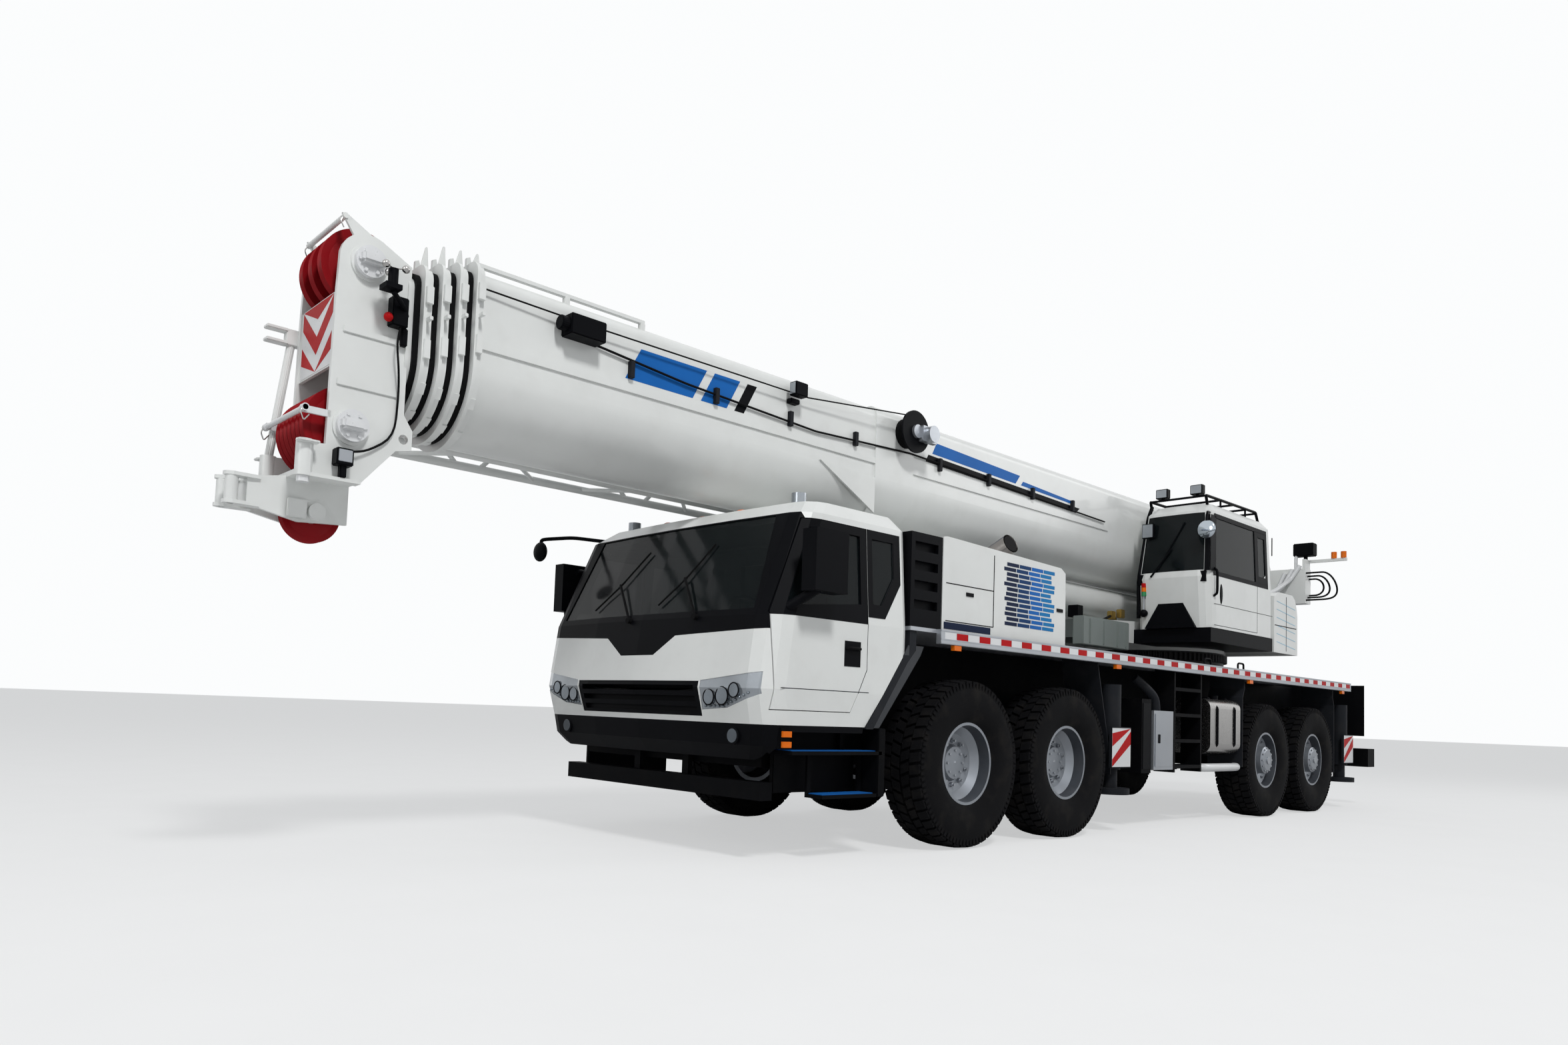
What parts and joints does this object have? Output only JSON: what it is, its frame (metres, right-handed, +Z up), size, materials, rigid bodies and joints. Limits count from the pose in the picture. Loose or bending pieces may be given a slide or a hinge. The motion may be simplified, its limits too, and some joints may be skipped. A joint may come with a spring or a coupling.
{
  "type": "mobile crane",
  "caption": "Truck-mounted mobile crane with driver's cab, slewing upper works, operator's cab, nested telescopic boom, stowed lattice jib and outriggers.",
  "frame": {"origin": "middle of the bounding box on the ground plane", "axes": "+X forward along the boom, +Y to the machine's left, +Z up"},
  "size_m": [15.39, 3.18, 3.87],
  "materials": {
    "white": "satin pale grey-white paint",
    "black": "satin black paint",
    "trim": "textured black plastic",
    "grey": "satin dark grey paint",
    "rail": "plain aluminium",
    "bright": "polished steel",
    "silver": "silver paint",
    "rod": "hard chrome",
    "gear": "greased cast steel",
    "tyre": "matt rubber",
    "glass": "tinted safety glass",
    "lamp": "clear lamp lens",
    "seat": "dark woven cloth",
    "red": "satin dark red paint"
  },
  "bodies": {
    "carrier": {"frame": "black", "axles": "black", "engine": "bright", "deck": "rail", "slew_ring": "gear", "cab_shell": "white", "cab_glass": "glass", "cab_trim": "trim", "cab_interior": "seat", "lamps": "lamp", "steps": "black", "engine_cover": "white", "air_intake": "trim", "mudguards": "grey", "fuel_tank": "bright", "side_boxes": "silver"},
    "door_left_leaf": {"door_left": "white"},
    "door_right_leaf": {"door_right": "white"},
    "steer_1_left": {"knuckle_1_left": "grey"},
    "wheel_1_left": {"tyre_1_left": "tyre", "rim_1_left": "silver"},
    "steer_1_right": {"knuckle_1_right": "grey"},
    "wheel_1_right": {"tyre_1_right": "tyre", "rim_1_right": "silver"},
    "steer_2_left": {"knuckle_2_left": "grey"},
    "wheel_2_left": {"tyre_2_left": "tyre", "rim_2_left": "silver"},
    "steer_2_right": {"knuckle_2_right": "grey"},
    "wheel_2_right": {"tyre_2_right": "tyre", "rim_2_right": "silver"},
    "wheel_3_left": {"tyre_3_left": "tyre", "rim_3_left": "silver"},
    "wheel_3_right": {"tyre_3_right": "tyre", "rim_3_right": "silver"},
    "wheel_4_left": {"tyre_4_left": "tyre", "rim_4_left": "silver"},
    "wheel_4_right": {"tyre_4_right": "tyre", "rim_4_right": "silver"},
    "outrigger_front_left": {"beam_front_left": "grey"},
    "leg_front_left": {"jack_front_left": "rod"},
    "outrigger_front_right": {"beam_front_right": "grey"},
    "leg_front_right": {"jack_front_right": "rod"},
    "outrigger_rear_left": {"beam_rear_left": "grey"},
    "leg_rear_left": {"jack_rear_left": "rod"},
    "outrigger_rear_right": {"beam_rear_right": "grey"},
    "leg_rear_right": {"jack_rear_right": "rod"},
    "upper": {"turntable": "white", "operator_cab": "white", "operator_glass": "glass", "operator_seat": "seat", "winch": "grey"},
    "boom": {"boom_base": "white", "fly_jib": "white"},
    "lift_cylinder": {"lift_barrel": "white"},
    "lift_piston": {"lift_rod": "rod"},
    "section_2": {"boom_2": "white"},
    "section_3": {"boom_3": "white"},
    "section_4": {"boom_4": "white"},
    "section_5": {"boom_head": "white", "sheaves": "red"}
  },
  "joints": [
    {"name": "door_left_hinge", "type": "hinge", "parent": "carrier", "child": "door_left_leaf", "pos_m": [4.561, 1.364, 1.7], "axis": [0, 0, -1], "range_deg": [0, 68]},
    {"name": "door_right_hinge", "type": "hinge", "parent": "carrier", "child": "door_right_leaf", "pos_m": [4.561, -1.364, 1.7], "axis": [0, 0, 1], "range_deg": [0, 68]},
    {"name": "steer_1_left_joint", "type": "hinge", "parent": "carrier", "child": "steer_1_left", "pos_m": [2.38, 0.978, 0.675], "axis": [0, 0, 1], "range_deg": [-28, 28]},
    {"name": "wheel_1_left_spin", "type": "hinge", "parent": "steer_1_left", "child": "wheel_1_left", "pos_m": [2.38, 1.228, 0.675], "axis": [0, 1, 0], "continuous": true},
    {"name": "steer_1_right_joint", "type": "hinge", "parent": "carrier", "child": "steer_1_right", "pos_m": [2.38, -0.978, 0.675], "axis": [0, 0, 1], "range_deg": [-28, 28]},
    {"name": "wheel_1_right_spin", "type": "hinge", "parent": "steer_1_right", "child": "wheel_1_right", "pos_m": [2.38, -1.228, 0.675], "axis": [0, 1, 0], "continuous": true},
    {"name": "steer_2_left_joint", "type": "hinge", "parent": "carrier", "child": "steer_2_left", "pos_m": [0.86, 0.978, 0.675], "axis": [0, 0, 1], "range_deg": [-21, 21]},
    {"name": "wheel_2_left_spin", "type": "hinge", "parent": "steer_2_left", "child": "wheel_2_left", "pos_m": [0.86, 1.228, 0.675], "axis": [0, 1, 0], "continuous": true},
    {"name": "steer_2_right_joint", "type": "hinge", "parent": "carrier", "child": "steer_2_right", "pos_m": [0.86, -0.978, 0.675], "axis": [0, 0, 1], "range_deg": [-21, 21]},
    {"name": "wheel_2_right_spin", "type": "hinge", "parent": "steer_2_right", "child": "wheel_2_right", "pos_m": [0.86, -1.228, 0.675], "axis": [0, 1, 0], "continuous": true},
    {"name": "wheel_3_left_spin", "type": "hinge", "parent": "carrier", "child": "wheel_3_left", "pos_m": [-3.72, 1.228, 0.675], "axis": [0, 1, 0], "continuous": true},
    {"name": "wheel_3_right_spin", "type": "hinge", "parent": "carrier", "child": "wheel_3_right", "pos_m": [-3.72, -1.228, 0.675], "axis": [0, 1, 0], "continuous": true},
    {"name": "wheel_4_left_spin", "type": "hinge", "parent": "carrier", "child": "wheel_4_left", "pos_m": [-5.26, 1.228, 0.675], "axis": [0, 1, 0], "continuous": true},
    {"name": "wheel_4_right_spin", "type": "hinge", "parent": "carrier", "child": "wheel_4_right", "pos_m": [-5.26, -1.228, 0.675], "axis": [0, 1, 0], "continuous": true},
    {"name": "outrigger_front_left_slide", "type": "slide", "parent": "carrier", "child": "outrigger_front_left", "axis": [0, 1, 0], "range_m": [0, 2]},
    {"name": "leg_front_left_slide", "type": "slide", "parent": "outrigger_front_left", "child": "leg_front_left", "axis": [0, 0, -1], "range_m": [0, 0.6]},
    {"name": "outrigger_front_right_slide", "type": "slide", "parent": "carrier", "child": "outrigger_front_right", "axis": [0, -1, 0], "range_m": [0, 2]},
    {"name": "leg_front_right_slide", "type": "slide", "parent": "outrigger_front_right", "child": "leg_front_right", "axis": [0, 0, -1], "range_m": [0, 0.6]},
    {"name": "outrigger_rear_left_slide", "type": "slide", "parent": "carrier", "child": "outrigger_rear_left", "axis": [0, 1, 0], "range_m": [0, 2]},
    {"name": "leg_rear_left_slide", "type": "slide", "parent": "outrigger_rear_left", "child": "leg_rear_left", "axis": [0, 0, -1], "range_m": [0, 0.6]},
    {"name": "outrigger_rear_right_slide", "type": "slide", "parent": "carrier", "child": "outrigger_rear_right", "axis": [0, -1, 0], "range_m": [0, 2]},
    {"name": "leg_rear_right_slide", "type": "slide", "parent": "outrigger_rear_right", "child": "leg_rear_right", "axis": [0, 0, -1], "range_m": [0, 0.6]},
    {"name": "slew", "type": "hinge", "parent": "carrier", "child": "upper", "pos_m": [-3.52, 0, 1.95], "axis": [0, 0, 1], "continuous": true},
    {"name": "luff", "type": "hinge", "parent": "upper", "child": "boom", "pos_m": [-5.97, 0, 3.33], "axis": [0, -1, 0], "range_deg": [0, 80]},
    {"name": "lift_cylinder_pivot", "type": "hinge", "parent": "upper", "child": "lift_cylinder", "pos_m": [-4.12, 0, 2.49], "axis": [0, -1, 0], "range_deg": [-1, 90.48]},
    {"name": "lift_stroke", "type": "slide", "parent": "lift_cylinder", "child": "lift_piston", "axis": [1, 0, 0], "range_m": [-0.01, 2.469]},
    {"name": "telescope_2", "type": "slide", "parent": "boom", "child": "section_2", "axis": [1, 0, 0], "range_m": [0, 9.6]},
    {"name": "telescope_3", "type": "slide", "parent": "section_2", "child": "section_3", "axis": [1, 0, 0], "range_m": [0, 9.6]},
    {"name": "telescope_4", "type": "slide", "parent": "section_3", "child": "section_4", "axis": [1, 0, 0], "range_m": [0, 9.6]},
    {"name": "telescope_5", "type": "slide", "parent": "section_4", "child": "section_5", "axis": [1, 0, 0], "range_m": [0, 9.6]}
  ],
  "couplings": [
    {"joint": "steer_1_right_joint", "follows": "steer_1_left_joint", "ratio": 1},
    {"joint": "steer_2_left_joint", "follows": "steer_1_left_joint", "ratio": 0.75},
    {"joint": "steer_2_right_joint", "follows": "steer_1_left_joint", "ratio": 0.75},
    {"joint": "lift_cylinder_pivot", "follows": "luff", "ratio": 1.1185},
    {"joint": "lift_stroke", "follows": "luff", "m_per_rad": 1.7543},
    {"joint": "telescope_3", "follows": "telescope_2", "ratio": 1},
    {"joint": "telescope_4", "follows": "telescope_2", "ratio": 1},
    {"joint": "telescope_5", "follows": "telescope_2", "ratio": 1}
  ]
}
